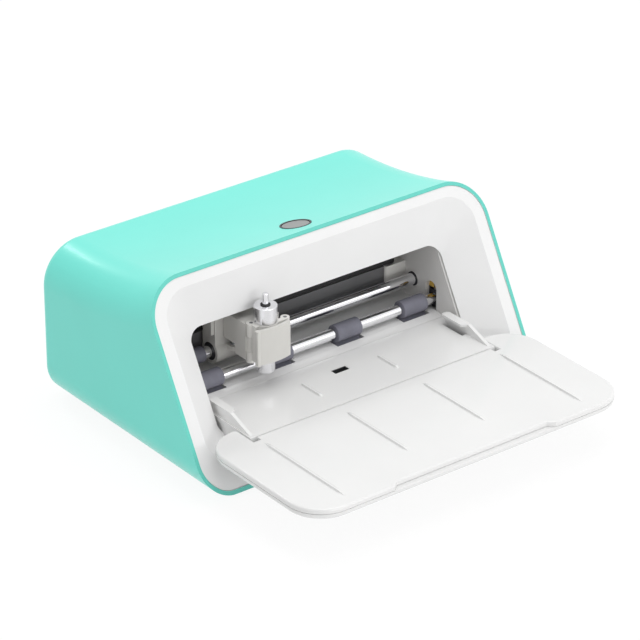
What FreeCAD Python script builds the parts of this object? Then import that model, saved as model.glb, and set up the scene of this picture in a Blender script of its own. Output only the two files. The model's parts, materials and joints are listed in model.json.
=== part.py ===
import math
import os

import FreeCAD
import Part

# Desktop electronic die cutting machine: a turquoise sleeve round a white bezel, a feed bay with a
# cutting carriage on a guide rod, pinch and feed rollers, and a tray that folds up as the front door.
# All sizes are millimetres. The pieces are drawn from a point on the platform's front edge, with X
# across, Y to the back and Z up from the platform's top, and are then set down on the floor by save().

V = FreeCAD.Vector
ACROSS = V(1, 0, 0)
BACKWARD = V(0, 1, 0)
UP = V(0, 0, 1)

# Clearances
FIT = 0.2               # between fixed pieces that slot together
RUNNING = 0.05          # radial, between a shaft and its bearing
MOVING = 0.4            # between pieces that pass one another
OVERCUT = 35.0          # how far a cutting form reaches past an open end

# Small roundings
EDGE_ROUND = 0.5
SMALL_CORNER = 1.0
SOFT_CORNER = 2.0
WIDE_CORNER = 3.0
CAN_ROUND = 1.5         # of a motor can

# Sleeve
BODY_HALF_WIDTH = 132.5
BODY_REACH = 175.0      # from the platform's front edge to the back
SLEEVE_WALL = 2.5
SLEEVE_BELOW = 32.5     # from the platform's top down to the sleeve's underside
RIM_TOP_Z = 89.6
FRONT_TILT = 29.03      # degrees that the front leans back from upright
FRONT_AT_PLATFORM = 13.75
TOP_RADIUS = 380.0      # hollow sweep of the top
TOP_EDGE_RADIUS = 28.0
BOTTOM_EDGE_RADIUS = 21.0
BACK_ROUNDING = 6.0
FOOT_HEIGHT = 3.0
FOOT_RADIUS = 9.0
FOOT_INSET = 30.0

# Bezel
BEZEL_WALL = 2.4
BEZEL_SINK = 0.4
BORDER_INSET = 10.5     # from the sleeve's sides to the flat border's inner edge
BORDER_TOP_Z = 82.0
BORDER_LOW_Z = -12.0
BORDER_TOP_RADIUS = 20.0
BORDER_LOW_RADIUS = 13.0
FUNNEL_DEPTH = 17.5
OPENING_HALF_WIDTH = 99.5
OPENING_TOP_Z = 49.5
OPENING_LOW_Z = -11.7
OPENING_RADIUS = 10.0

# Tray
TRAY_REACH = 99.0       # in front of the platform's front edge
TRAY_HALF_WIDTH = 125.0
TRAY_PANEL_THICK = 3.6
TRAY_COVER_THICK = 3.6
TRAY_FRONT_RADIUS = 24.0
EAR_INNER_X = 98.0
EAR_BACK_Y = 14.0
EAR_FLAT = 0.2          # straight run between an ear's two roundings
EAR_INNER_RADIUS = 2.8
TRAY_REAR_GAP = 1.5
TRAY_GROOVE = 0.5
TRAY_TOP_ROUNDING = 1.4
TRAY_LOW_ROUNDING = 2.6
RIDGE_WIDTH = 1.6
RIDGE_HEIGHT = 1.0
RIDGE_RUN_OUT = 5.0     # length over which an end rises or falls by the height
RIDGE_SWEEP = 15.0
INNER_RIDGE_X = 30.4
OUTER_RIDGE_X = 93.75
RIDGE_START_Y = -11.0
INNER_RIDGE_END_Y = -70.6
OUTER_RIDGE_END_Y = -89.0
FINGER_HALF_WIDTH = 59.0
FINGER_DEPTH = 4.0
FINGER_SLOPE = 5.0
HINGE_DROP = 3.4        # tray axis below the platform's top
HINGE_PIN_RADIUS = 1.5
HINGE_PIN_IN_EAR = 10.0
HINGE_PIN_IN_PLATFORM = 5.0
DOOR_GAP = 1.6          # between the closed tray and the bezel's plane

# Platform and bed
PLATFORM_HALF_WIDTH = 97.4
PLATFORM_THICK = 2.5
PLATFORM_BACK_Y = 52.0
NOSE_RADIUS = 7.0
GUIDE_X = 95.0
GUIDE_THICK = 2.4
GUIDE_FOOT_Y = 2.0
GUIDE_RISE_Y = 22.0
GUIDE_BACK_Y = 45.0
GUIDE_HEIGHT = 7.2
GUIDE_TAB = 3.5
GUIDE_TAB_THICK = 1.6
NOTCH_HALF_WIDTH = 1.9
NOTCH_DEPTH = 4.0
SMALL_RIDGE_START_Y = 15.0
SMALL_RIDGE_END_Y = 35.0
WINDOW_WIDTH = 11.4
WINDOW_LENGTH = 5.4
WINDOW_Y = 35.5
BED_RISE = 0.8
BED_RAMP_Y = 59.0
BED_THICK = 2.0
LEG_WIDTH = 6.0
LEG_DEPTH = 10.0
PLATFORM_LEG_X = 70.0
BED_LEG_X = 76.0
BED_LEG_Y = 120.0

# Frame inside
WALL_INNER_X = 98.5
WALL_THICK = 3.0
WALL_BACK_GAP = 10.0    # from the walls to the back
WALL_TOP_Z = 60.0
WALL_CORNER = 8.0
PAN_THICK = 2.0
PAN_CORNER = 4.0
PAN_FRONT_Y = 14.0
BEAM_FRONT_Y = 94.0
BEAM_DEPTH = 10.0
BEAM_LOW_Z = 12.5
BEAM_HIGH_Z = 24.4
BEAM_WALL = 1.6
BEAM_END_X = 82.0

# Rod, pinch rollers and feed rollers
ROD_Y = 84.5
ROD_Z = 14.3
ROD_RADIUS = 4.0
ROD_COLLAR_RADIUS = 5.0
ROD_COLLAR_OUT = 0.4
BUMPER_RADIUS = 5.3
BUMPER_END_X = -72.0
PINCH_Y = 65.6
PINCH_SHAFT_RADIUS = 3.7
PINCH_ROLLER_RADIUS = 5.9
ROLLER_LENGTH = 19.4
INNER_ROLLER_X = 27.8
OUTER_ROLLER_X = 82.0
NIP = 0.25              # gap left for the sheet between the two sets of rollers
ROLLER_PROUD = 0.15     # feed rollers above the bed
FEED_ROLLER_RADIUS = 6.0
FEED_SHAFT_RADIUS = 2.5
PINCH_LIFT = 1.5
PINCH_SLOT_WIDTH = 11.0
PINCH_SLOT_TOP_Z = 20.0
PINCH_BLOCK_WIDTH = 12.0
PINCH_BLOCK_THICK = 5.5
PINCH_BLOCK_HIGH = 5.0  # above the shaft's axis
PINCH_SPRING_LENGTH = 13.0
PINCH_SPRING_RADIUS = 3.0
PINCH_SPRING_WIRE = 0.9
PINCH_SPRING_TURNS = 5
SPRING_CAP_THICK = 3.0
SPRING_CAP_WALL = 1.6
FEED_BUSH_RADIUS = 4.5
FEED_GEAR_X = 110.0
GEAR_WIDTH = 6.0
GEAR_MODULE = 0.8
FEED_GEAR_TEETH = 48
FEED_PINION_TEETH = 16
GEAR_BACKLASH = 0.15
ROOT_DEPTH = 1.2        # in modules
TIP_HEIGHT = 0.9
ROOT_SHARE = 0.30       # half a tooth's width, in pitches
TIP_SHARE = 0.12
PINION_ANGLE = -25.0    # degrees of the pinion below the level of the feed shaft, towards the back
MOTOR_SHAFT_RADIUS = 1.5
SHAFT_END = 1.0         # of a shaft past what it carries
FEED_MOTOR_RADIUS = 11.0
FEED_MOTOR_LENGTH = 26.0

# Belt drive
PULLEY_X = 86.0
PULLEY_RADIUS = 5.09
PULLEY_FLANGE = 1.8
BELT_WIDTH = 6.0
BELT_THICK = 1.4
BELT_ABOVE_BEAM = 1.6
CARRIAGE_MOTOR_RADIUS = 14.0
CARRIAGE_MOTOR_LENGTH = 22.0
BRACKET_THICK = 2.0

# Carriage
BLADE_X = -47.0
BLADE_Y = 51.0
CARRIAGE_LEFT = 19.0    # from the blade's axis to the carriage's left face
CARRIAGE_RIGHT = 19.0
CARRIAGE_FRONT_Y = 78.5
CARRIAGE_BACK_Y = 92.0
CARRIAGE_TOP_Z = 45.0
TAB_INSET = 1.0
TAB_WIDTH = 7.0
TAB_HEIGHT = 18.0
TAB_THICK = 2.4
TAB_HOLE_RADIUS = 1.2
JAW_WALL = 2.0
HUB_RADIUS = 8.2
CARRIAGE_BUSH_RADIUS = 6.0
CARRIAGE_BUSH_LENGTH = 9.0
LUG_HALF_WIDTH = 11.0
LUG_FRONT_Y = 71.0
LOW_LUG_Z = 16.5
LOW_LUG_THICK = 3.0
HIGH_LUG_THICK = 3.0
GUIDE_PIN_RADIUS = 2.0
GUIDE_PIN_SPREAD = 7.0
GUIDE_PIN_Y = 74.8
SOLENOID_RADIUS = 6.0
SOLENOID_LENGTH = 15.0
SOLENOID_PLUNGER_RADIUS = 1.6
LIFT_SPRING_RADIUS = 3.0
LIFT_SPRING_WIRE = 0.8
LIFT_SPRING_TURNS = 3

# Tool head
BLOCK_HALF_WIDTH = 13.0
BLOCK_FRONT_Y = 54.6
BLOCK_STEP_Y = 66.0
BLOCK_BACK_Y = 77.9
BLOCK_LOW_Z = 18.8
BLOCK_STEP_Z = 25.5
BLOCK_TOP_Z = 43.7
KNUCKLE_RADIUS = 3.3
KNUCKLE_PIN_RADIUS = 1.2
CLAMP_PIVOT_X = -9.0    # from the blade's axis
CLAMP_PIVOT_Y = 3.0
KNUCKLE_LOW_Z = 16.9
KNUCKLE_MID_LOW_Z = 24.4
KNUCKLE_MID_HIGH_Z = 34.8
CLAMP_TOP_Z = 43.9
CLAMP_WALL = 2.3
SWING_SHARE = 0.4       # of the holder's radius that the arm leaves free at its right
LEVER_PIVOT_X = 12.6
LEVER_PIVOT_Y = -3.4
LEVER_LOW_Z = 19.4
LEVER_TOP_Z = 43.6
LEVER_THICK = 2.2
LEVER_LIP_X = -12.4
LEVER_LIP = 2.6
LEVER_BOW = 1.8
HOLDER_RADIUS = 5.9
HOLDER_FLANGE_RADIUS = 7.6
HOLDER_LOW_Z = 8.5
HOLDER_FLANGE_Z = 44.2
HOLDER_TOP_Z = 55.0
HOLDER_NOSE = 1.2
PLUNGER_RADIUS = 2.0
PLUNGER_TOP_Z = 63.0
PLUNGER_LOW_Z = 30.0
PLUNGER_TRAVEL = 2.0
BLADE_RADIUS = 0.5
BLADE_TIP_Z = 6.6
SEAL_RADIUS = 3.2
SEAL_THICK = 0.5

# Power button
BUTTON_Y = 81.6
BUTTON_RADIUS = 9.1
BUTTON_RING_RADIUS = 10.3
BUTTON_RING_PROUD = 0.3
BUTTON_TRAVEL = 1.2
BUTTON_THICK = 3.0
BUTTON_CUP_DEPTH = 9.0
BUTTON_CUP_FLOOR = 1.5
BUTTON_STEM_RADIUS = 2.5
SWITCH_SIZE = 6.0
SWITCH_HEIGHT = 3.4

# Back, board and screws
PANEL_HALF_WIDTH = 108.0
PANEL_LOW_Z = -24.0
PANEL_HIGH_Z = 56.0
PANEL_RADIUS = 10.0
PANEL_RECESS = 2.0
PANEL_FLANGE = 4.0
PANEL_FLANGE_THICK = 1.5
SLOT_HALF_WIDTH = 96.0
SLOT_HEIGHT = 6.6
BOARD_HALF_WIDTH = 50.0
BOARD_LENGTH = 62.0
BOARD_BACK_GAP = 9.0    # from the board to the back
BOARD_THICK = 1.6
CHIP_SIZE = 12.0
STANDOFF_HEIGHT = 4.0
STANDOFF_RADIUS = 3.0
JACK_X = 34.0
JACK_WIDTH = 9.0
JACK_HEIGHT = 11.0
JACK_LENGTH = 14.0
JACK_BORE = 2.8
JACK_PIN = 1.0
JACK_DEPTH = 9.8
PIN_SUNK = 1.0
USB_X = 12.0
USB_WIDTH = 9.0
USB_HEIGHT = 3.2
USB_LENGTH = 9.0
USB_WALL = 0.35
SCREW_RADIUS = 1.5
SCREW_HEAD_RADIUS = 2.8
SCREW_HEAD = 1.8
SCREW_LENGTH = 6.0
CROSS_WIDTH = 0.6

# Sizes that follow from the ones above
SIDES = (-1, 1)
TILT = math.radians(FRONT_TILT)
SLOPE = math.tan(TILT)
SLEEVE_LOW_Z = -SLEEVE_BELOW
SHIFT = V(0, (TRAY_REACH - BODY_REACH) / 2, SLEEVE_BELOW + FOOT_HEIGHT)
RIM_TOP_Y = FRONT_AT_PLATFORM + SLOPE * RIM_TOP_Z
TOP_CENTRE_Z = RIM_TOP_Z + math.sqrt(TOP_RADIUS ** 2 - (BODY_REACH - RIM_TOP_Y) ** 2)
FRONT_PLANE = FreeCAD.Placement(V(0, FRONT_AT_PLATFORM, 0), FreeCAD.Rotation(ACROSS, 90 - FRONT_TILT))
HINGE_Y = FRONT_AT_PLATFORM - SLOPE * HINGE_DROP - (HINGE_DROP + DOOR_GAP) / math.cos(TILT)
HINGE = V(0, HINGE_Y, -HINGE_DROP)
PAN_TOP_Z = SLEEVE_LOW_Z + SLEEVE_WALL + PAN_THICK
BORDER_HALF_WIDTH = BODY_HALF_WIDTH - BORDER_INSET
EAR_RADIUS = TRAY_HALF_WIDTH - EAR_INNER_X - EAR_INNER_RADIUS - EAR_FLAT
WALL_OUTER_X = WALL_INNER_X + WALL_THICK
WALL_BACK_Y = BODY_REACH - WALL_BACK_GAP
ROLLER_XS = (-OUTER_ROLLER_X, -INNER_ROLLER_X, INNER_ROLLER_X, OUTER_ROLLER_X)
FEED_Z = BED_RISE + ROLLER_PROUD - FEED_ROLLER_RADIUS
PINCH_Z = BED_RISE + ROLLER_PROUD + NIP + PINCH_ROLLER_RADIUS
PINCH_BLOCK_TOP_Z = PINCH_Z + PINCH_BLOCK_HIGH
GEAR_DISTANCE = GEAR_MODULE * (FEED_GEAR_TEETH + FEED_PINION_TEETH) / 2 + GEAR_BACKLASH
PINION_Y = PINCH_Y + GEAR_DISTANCE * math.cos(math.radians(PINION_ANGLE))
PINION_Z = FEED_Z + GEAR_DISTANCE * math.sin(math.radians(PINION_ANGLE))
PULLEY_Y = BEAM_FRONT_Y + BEAM_DEPTH / 2
BELT_LOW_Z = BEAM_HIGH_Z + BELT_ABOVE_BEAM
BELT_MID_Z = BELT_LOW_Z + BELT_WIDTH / 2
PULLEY_TOP_Z = BELT_LOW_Z + BELT_WIDTH + 2 * RUNNING + PULLEY_FLANGE
BRACKET_Z = PULLEY_TOP_Z + MOVING
CARRIAGE_X0 = BLADE_X - CARRIAGE_LEFT
CARRIAGE_X1 = BLADE_X + CARRIAGE_RIGHT
LUG_TOP_Z = LOW_LUG_Z + LOW_LUG_THICK
HIGH_LUG_Z = BLOCK_TOP_Z + MOVING
CLAMP_X = BLADE_X + CLAMP_PIVOT_X
CLAMP_Y = BLADE_Y + CLAMP_PIVOT_Y
LEVER_X = BLADE_X + LEVER_PIVOT_X
LEVER_Y = BLADE_Y + LEVER_PIVOT_Y
CLAMP_RADIUS = HOLDER_RADIUS + RUNNING + CLAMP_WALL
LEVER_KNUCKLE = KNUCKLE_RADIUS - MOVING
BOARD_BACK_Y = BODY_REACH - BOARD_BACK_GAP
BOARD_FRONT_Y = BOARD_BACK_Y - BOARD_LENGTH
BOARD_Z = PAN_TOP_Z + STANDOFF_HEIGHT
BOARD_TOP_Z = BOARD_Z + BOARD_THICK
PANEL_BACK_Y = BODY_REACH - PANEL_RECESS
PANEL_FRONT_Y = BODY_REACH - SLEEVE_WALL


def box(x0, x1, y0, y1, z0, z1):
    return Part.makeBox(x1 - x0, y1 - y0, z1 - z0, V(x0, y0, z0))


def rod(start, axis, radius, length):
    return Part.makeCylinder(radius, length, start, axis)


def ring(start, axis, radius, bore, length):
    return rod(start, axis, radius, length).cut(rod(start, axis, bore, length))


def outline(corners, height=0.0):
    """Closed wire through (x, y, radius) corners, each rounded to its radius."""
    edges = []
    starts = []
    ends = []
    count = len(corners)
    for i, (x, y, radius) in enumerate(corners):
        here = V(x, y, height)
        before = V(corners[i - 1][0], corners[i - 1][1], height) - here
        after = V(corners[(i + 1) % count][0], corners[(i + 1) % count][1], height) - here
        before.normalize()
        after.normalize()
        if radius == 0:
            starts.append(here)
            ends.append(here)
            continue
        half = before.getAngle(after) / 2
        middle = before + after
        middle.normalize()
        starts.append(here + before * (radius / math.tan(half)))
        ends.append(here + after * (radius / math.tan(half)))
        crown = here + middle * (radius / math.sin(half) - radius)
        edges.append(Part.Arc(starts[-1], crown, ends[-1]).toShape())
    for i in range(count):
        if (ends[i - 1] - starts[i]).Length > 1e-6:
            edges.append(Part.LineSegment(ends[i - 1], starts[i]).toShape())
    return Part.Wire(Part.__sortEdges__(edges))


def prism(corners, low, high):
    """Plan outline of (x, y, radius) corners, raised from low to high."""
    return Part.Face(outline(corners, low)).extrude(UP * (high - low))


def side_prism(corners, x0, x1):
    """Side outline of (y, z, radius) corners, carried across from x0 to x1."""
    solid = Part.Face(outline(corners)).extrude(UP * (x1 - x0))
    solid.Placement = FreeCAD.Placement(V(x0, 0, 0), FreeCAD.Rotation(V(1, 1, 1), 120))
    return solid


def rectangle(half_width, low, high, low_radius, high_radius):
    return [(-half_width, low, low_radius), (half_width, low, low_radius),
            (half_width, high, high_radius), (-half_width, high, high_radius)]


def fuse(first, *others):
    return first.fuse(list(others)).removeSplitter()


def soften(solid, radius, wanted):
    """Round the edges whose ends and middle pass the test."""
    edges = []
    for edge in solid.Edges:
        points = [vertex.Point for vertex in edge.Vertexes]
        points.append(edge.valueAt(sum(edge.ParameterRange) / 2))
        if all(wanted(p) for p in points):
            edges.append(edge)
    return solid.makeFillet(radius, edges)


def near(a, b):
    return abs(a - b) < 1e-4


def save(name, *solids):
    shape = solids[0] if len(solids) == 1 else Part.makeCompound(list(solids))
    shape = shape.copy()
    shape.translate(SHIFT)
    shape.exportStep("parts/%s.step" % name)


# Housing forms
def top_z(y, inset=0.0):
    return TOP_CENTRE_Z - math.sqrt((TOP_RADIUS + inset) ** 2 - (BODY_REACH - y) ** 2)


def housing(inset, front_gap, back_gap):
    """Solid of the housing, its skin moved in by inset, and its front plane moved out by front_gap."""
    low = SLEEVE_LOW_Z + inset
    back = BODY_REACH - back_gap
    offset = FRONT_AT_PLATFORM - front_gap / math.cos(TILT)
    radius = TOP_RADIUS + inset
    # The front's line y = offset + SLOPE z meets the top's circle
    a = 1 + SLOPE ** 2
    b = SLOPE * (offset - BODY_REACH) - TOP_CENTRE_Z
    c = (offset - BODY_REACH) ** 2 + TOP_CENTRE_Z ** 2 - radius ** 2
    high = (-b - math.sqrt(b * b - a * c)) / a
    front_low = V(0, offset + SLOPE * low, low)
    front_top = V(0, offset + SLOPE * high, high)
    back_low = V(0, back, low)
    back_top = V(0, back, top_z(back, inset))
    half_y = (front_top.y + back) / 2
    crown = V(0, half_y, top_z(half_y, inset))
    edges = [Part.LineSegment(front_low, back_low).toShape(),
             Part.LineSegment(back_low, back_top).toShape(),
             Part.Arc(back_top, crown, front_top).toShape(),
             Part.LineSegment(front_top, front_low).toShape()]
    half = BODY_HALF_WIDTH - inset
    face = Part.Face(Part.Wire(edges))
    face.translate(V(-half, 0, 0))
    solid = face.extrude(V(2 * half, 0, 0))

    def on_top(p):
        return near(abs(p.x), half) and near(p.z, top_z(p.y, inset))

    def on_bottom(p):
        return near(abs(p.x), half) and near(p.z, low)
    solid = soften(solid, TOP_EDGE_RADIUS - inset, on_top)
    return soften(solid, BOTTOM_EDGE_RADIUS - inset, on_bottom)


def panel_outline(grow):
    return rectangle(PANEL_HALF_WIDTH + grow, PANEL_LOW_Z - grow, PANEL_HIGH_Z + grow,
                     PANEL_RADIUS + grow, PANEL_RADIUS + grow)


def upright_prism(corners, y0, y1):
    """Outline of (x, z, radius) corners, carried back from y0 to y1."""
    solid = Part.Face(outline(corners)).extrude(UP * (y1 - y0))
    solid.Placement = FreeCAD.Placement(V(0, y1, 0), FreeCAD.Rotation(ACROSS, 90))
    return solid


# Power button, square to the top where it sits
BUTTON_LEAN = math.asin((BODY_REACH - BUTTON_Y) / TOP_RADIUS)
BUTTON_PLACE = FreeCAD.Placement(V(0, BUTTON_Y, top_z(BUTTON_Y)),
                                 FreeCAD.Rotation(ACROSS, -math.degrees(BUTTON_LEAN)))


def on_button(shape):
    shape.Placement = BUTTON_PLACE.multiply(shape.Placement)
    return shape


def foot_places():
    x = BODY_HALF_WIDTH - FOOT_INSET
    front = PAN_FRONT_Y + FOOT_INSET / 2
    back = BODY_REACH - FOOT_INSET
    return [V(side * x, y, SLEEVE_LOW_Z) for side in SIDES for y in (front, back)]


def outer_sleeve():
    shell = soften(housing(0, 0, 0), BACK_ROUNDING, lambda p: near(p.y, BODY_REACH))
    shell = shell.cut(housing(SLEEVE_WALL, OVERCUT, SLEEVE_WALL))
    shell = shell.cut(upright_prism(panel_outline(FIT), PANEL_FRONT_Y - FIT, BODY_REACH + FIT))
    hole = rod(V(0, 0, -BUTTON_CUP_DEPTH), UP, BUTTON_RING_RADIUS + FIT / 2, 2 * BUTTON_CUP_DEPTH)
    return shell.cut(on_button(hole))


def rubber_feet():
    feet = []
    for place in foot_places():
        foot = rod(place, -UP, FOOT_RADIUS, FOOT_HEIGHT)
        feet.append(soften(foot, FOOT_HEIGHT / 4, lambda p: near(p.z, SLEEVE_LOW_Z - FOOT_HEIGHT)))
    return feet


# Bezel
def funnel_outline(depth, grow):
    """The funnel's rounded outline at a depth behind the front plane, grown all round."""
    share = depth / FUNNEL_DEPTH

    def between(front, back):
        return front + (back - front) * share
    border_low = BORDER_LOW_Z / math.cos(TILT)
    border_top = BORDER_TOP_Z / math.cos(TILT)
    opening_low = (OPENING_LOW_Z + FUNNEL_DEPTH * math.sin(TILT)) / math.cos(TILT)
    opening_top = (OPENING_TOP_Z + FUNNEL_DEPTH * math.sin(TILT)) / math.cos(TILT)
    corners = rectangle(between(BORDER_HALF_WIDTH, OPENING_HALF_WIDTH) + grow,
                        between(border_low, opening_low) - grow, between(border_top, opening_top) + grow,
                        between(BORDER_LOW_RADIUS, OPENING_RADIUS) + grow,
                        between(BORDER_TOP_RADIUS, OPENING_RADIUS) + grow)
    return outline(corners, -depth)


def on_front(shape):
    shape.Placement = FRONT_PLANE.multiply(shape.Placement)
    return shape


def funnel(near_depth, far_depth, grow):
    """Solid funnel between two depths behind the front plane."""
    ends = [funnel_outline(depth, grow) for depth in (near_depth, far_depth)]
    return on_front(Part.makeLoft(ends, True, True))


def front_layer(near_depth, far_depth):
    """Everything between two planes behind the front plane."""
    reach = 2 * BODY_HALF_WIDTH
    return on_front(box(-reach, reach, -reach, reach, -far_depth, -near_depth))


def front_bezel():
    plate = housing(SLEEVE_WALL + FIT, FIT, 0).common(front_layer(BEZEL_SINK, BEZEL_SINK + BEZEL_WALL))
    skirt = funnel(BEZEL_SINK, FUNNEL_DEPTH, BEZEL_WALL)
    hollow = funnel(-FIT, FUNNEL_DEPTH + FIT, 0)
    return fuse(plate, skirt).cut(hollow)


# Tray
def tray_corners(inset):
    """Plan of the tray: front corners, ears at the back, notches that clear the mat guides."""
    half = TRAY_HALF_WIDTH - inset
    front = -TRAY_REACH + inset
    ear = EAR_BACK_Y - inset
    rear = -TRAY_REAR_GAP
    notch_y = rear - NOTCH_DEPTH
    notch_x = GUIDE_X - NOTCH_HALF_WIDTH
    inner = EAR_INNER_X + inset
    right = [(half, front, TRAY_FRONT_RADIUS),
             (half, ear, EAR_RADIUS - inset),
             (inner, ear, EAR_INNER_RADIUS - inset),
             (inner, notch_y, 0),
             (notch_x, notch_y, 0),
             (notch_x, rear, 0)]
    return right + [(-x, y, radius) for x, y, radius in reversed(right)]


def on_tray_rim(p):
    """True on the tray's outer edge, and false along its hinge side."""
    return p.y < -TRAY_REAR_GAP - NOTCH_DEPTH - FIT or abs(p.x) > EAR_INNER_X - FIT


def hinge_pin(side, radius):
    start = V(side * (EAR_INNER_X - HINGE_PIN_IN_PLATFORM), HINGE_Y, -HINGE_DROP)
    return rod(start, ACROSS * side, radius, HINGE_PIN_IN_PLATFORM + HINGE_PIN_IN_EAR)


def finger_recess(depth, slope, low, high):
    front = -TRAY_REACH
    half = FINGER_HALF_WIDTH
    corners = [(-half - slope, front - FIT, 0), (half + slope, front - FIT, 0),
               (half, front + depth, SOFT_CORNER), (-half, front + depth, SOFT_CORNER)]
    return prism(corners, low, high)


def ridge(x, front, back):
    """Thin rib along the mat's way, half sunk into the surface that carries it, with run-out ends."""
    half = RIDGE_WIDTH / 2
    run, rise = RIDGE_RUN_OUT, RIDGE_HEIGHT
    corners = [(front - run, -rise, 0), (back + run, -rise, 0),
               (back - run, rise, RIDGE_SWEEP), (front + run, rise, RIDGE_SWEEP)]
    return side_prism(corners, x - half, x + half)


def tray_panel():
    low = -TRAY_PANEL_THICK
    body = prism(tray_corners(0), low + TRAY_GROOVE, 0)
    body = body.cut(finger_recess(FINGER_DEPTH, FINGER_SLOPE, low, FIT))
    body = soften(body, TRAY_TOP_ROUNDING, lambda p: near(p.z, 0) and on_tray_rim(p))
    step = prism(tray_corners(TRAY_GROOVE), low, low + TRAY_GROOVE)
    step = step.cut(finger_recess(FINGER_DEPTH + TRAY_GROOVE, FINGER_SLOPE, low, FIT))
    ridges = []
    for x, end in ((INNER_RIDGE_X, INNER_RIDGE_END_Y), (OUTER_RIDGE_X, OUTER_RIDGE_END_Y)):
        for side in SIDES:
            ridges.append(ridge(side * x, end, RIDGE_START_Y))
    solid = fuse(body, step, *ridges)
    for side in SIDES:
        solid = solid.cut(hinge_pin(side, HINGE_PIN_RADIUS))
    return solid


def tray_cover():
    high = -TRAY_PANEL_THICK
    low = high - TRAY_COVER_THICK
    body = prism(tray_corners(0), low, high)
    body = soften(body, TRAY_LOW_ROUNDING, lambda p: near(p.z, low) and on_tray_rim(p))
    for side in SIDES:
        body = body.cut(hinge_pin(side, HINGE_PIN_RADIUS))
    return body


def tray_hinge_pins():
    return [hinge_pin(side, HINGE_PIN_RADIUS) for side in SIDES]


# Platform, guides and bed
def small_ridge(side):
    return ridge(side * INNER_RIDGE_X, SMALL_RIDGE_START_Y, SMALL_RIDGE_END_Y)


def window(high):
    half = WINDOW_WIDTH / 2
    half_y = WINDOW_LENGTH / 2
    return box(-half, half, WINDOW_Y - half_y, WINDOW_Y + half_y, -PLATFORM_THICK, high)


def leg(x, y, top):
    half = LEG_WIDTH / 2
    return box(x - half, x + half, y, y + LEG_DEPTH, PAN_TOP_Z, top)


def guide_foot(side):
    half = GUIDE_THICK / 2
    x = side * GUIDE_X
    return box(x - half, x + half, GUIDE_RISE_Y, GUIDE_BACK_Y, -PLATFORM_THICK, 0)


def front_platform():
    half = PLATFORM_HALF_WIDTH
    plate = box(-half, half, HINGE_Y, PLATFORM_BACK_Y, -PLATFORM_THICK, 0)
    nose = rod(HINGE - ACROSS * half, ACROSS, NOSE_RADIUS, 2 * half)
    hollow_half = half - HINGE_PIN_IN_PLATFORM - LEG_WIDTH
    hollow = rod(HINGE - ACROSS * hollow_half, ACROSS, NOSE_RADIUS - PLATFORM_THICK, 2 * hollow_half)
    hollow = hollow.common(box(-half, half, -BODY_REACH, BODY_REACH, -BODY_REACH, -PLATFORM_THICK))
    behind = box(-hollow_half, hollow_half, HINGE_Y, BODY_REACH, -BODY_REACH, -PLATFORM_THICK)
    lip = nose.common(box(-half, half, -BODY_REACH, BODY_REACH, -BODY_REACH, 0)).cut(hollow).cut(behind)
    legs = [leg(side * PLATFORM_LEG_X, PLATFORM_BACK_Y - LEG_DEPTH, -PLATFORM_THICK / 2) for side in SIDES]
    solid = fuse(plate, lip, small_ridge(-1), small_ridge(1), *legs)
    solid = solid.cut(window(FIT))
    for side in SIDES:
        tab = side * (GUIDE_X - GUIDE_THICK / 2 - GUIDE_TAB / 2)
        slot = box(tab - GUIDE_TAB / 2, tab + GUIDE_TAB / 2, GUIDE_RISE_Y + GUIDE_TAB_THICK,
                   GUIDE_BACK_Y - GUIDE_TAB_THICK, -PLATFORM_THICK, FIT)
        solid = solid.cut(slot).cut(guide_foot(side)).cut(hinge_pin(side, HINGE_PIN_RADIUS + RUNNING))
    return solid


def mat_guide(side):
    """Fin that rises from the hinge corner to a tab that overhangs the mat's edge."""
    fin = side_prism([(GUIDE_FOOT_Y, 0, 0), (GUIDE_BACK_Y, 0, 0), (GUIDE_BACK_Y, GUIDE_HEIGHT, SMALL_CORNER),
                      (GUIDE_RISE_Y, GUIDE_HEIGHT, WIDE_CORNER)],
                     side * GUIDE_X - GUIDE_THICK / 2, side * GUIDE_X + GUIDE_THICK / 2)
    inner = side * (GUIDE_X - GUIDE_THICK / 2 - GUIDE_TAB)
    outer = side * GUIDE_X
    corners = [(outer, GUIDE_RISE_Y, 0), (inner, GUIDE_RISE_Y + GUIDE_TAB, SMALL_CORNER),
               (inner, GUIDE_BACK_Y, SMALL_CORNER), (outer, GUIDE_BACK_Y, 0)]
    tab = prism(corners, GUIDE_HEIGHT - GUIDE_TAB_THICK, GUIDE_HEIGHT)
    return fuse(fin, tab, guide_foot(side))


def roller_window(x):
    half_x = ROLLER_LENGTH / 2 + 3 * MOVING
    half_y = FEED_ROLLER_RADIUS
    return box(x - half_x, x + half_x, PINCH_Y - half_y, PINCH_Y + half_y, -2 * BED_THICK, 2 * BED_THICK)


def rear_bed():
    front = PLATFORM_BACK_Y + FIT
    back = PANEL_FRONT_Y - PANEL_FLANGE_THICK - FIT
    half = WALL_INNER_X - FIT
    plate = side_prism([(front, -BED_THICK, 0), (back, BED_RISE - BED_THICK, 0), (back, BED_RISE, 0),
                        (BED_RAMP_Y, BED_RISE, 0), (front, 0, 0)], -half, half)
    legs = [leg(side * BED_LEG_X, BED_LEG_Y, BED_RISE - BED_THICK / 2) for side in SIDES]
    solid = fuse(plate, *legs)
    for x in ROLLER_XS:
        solid = solid.cut(roller_window(x))
    return solid


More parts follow.
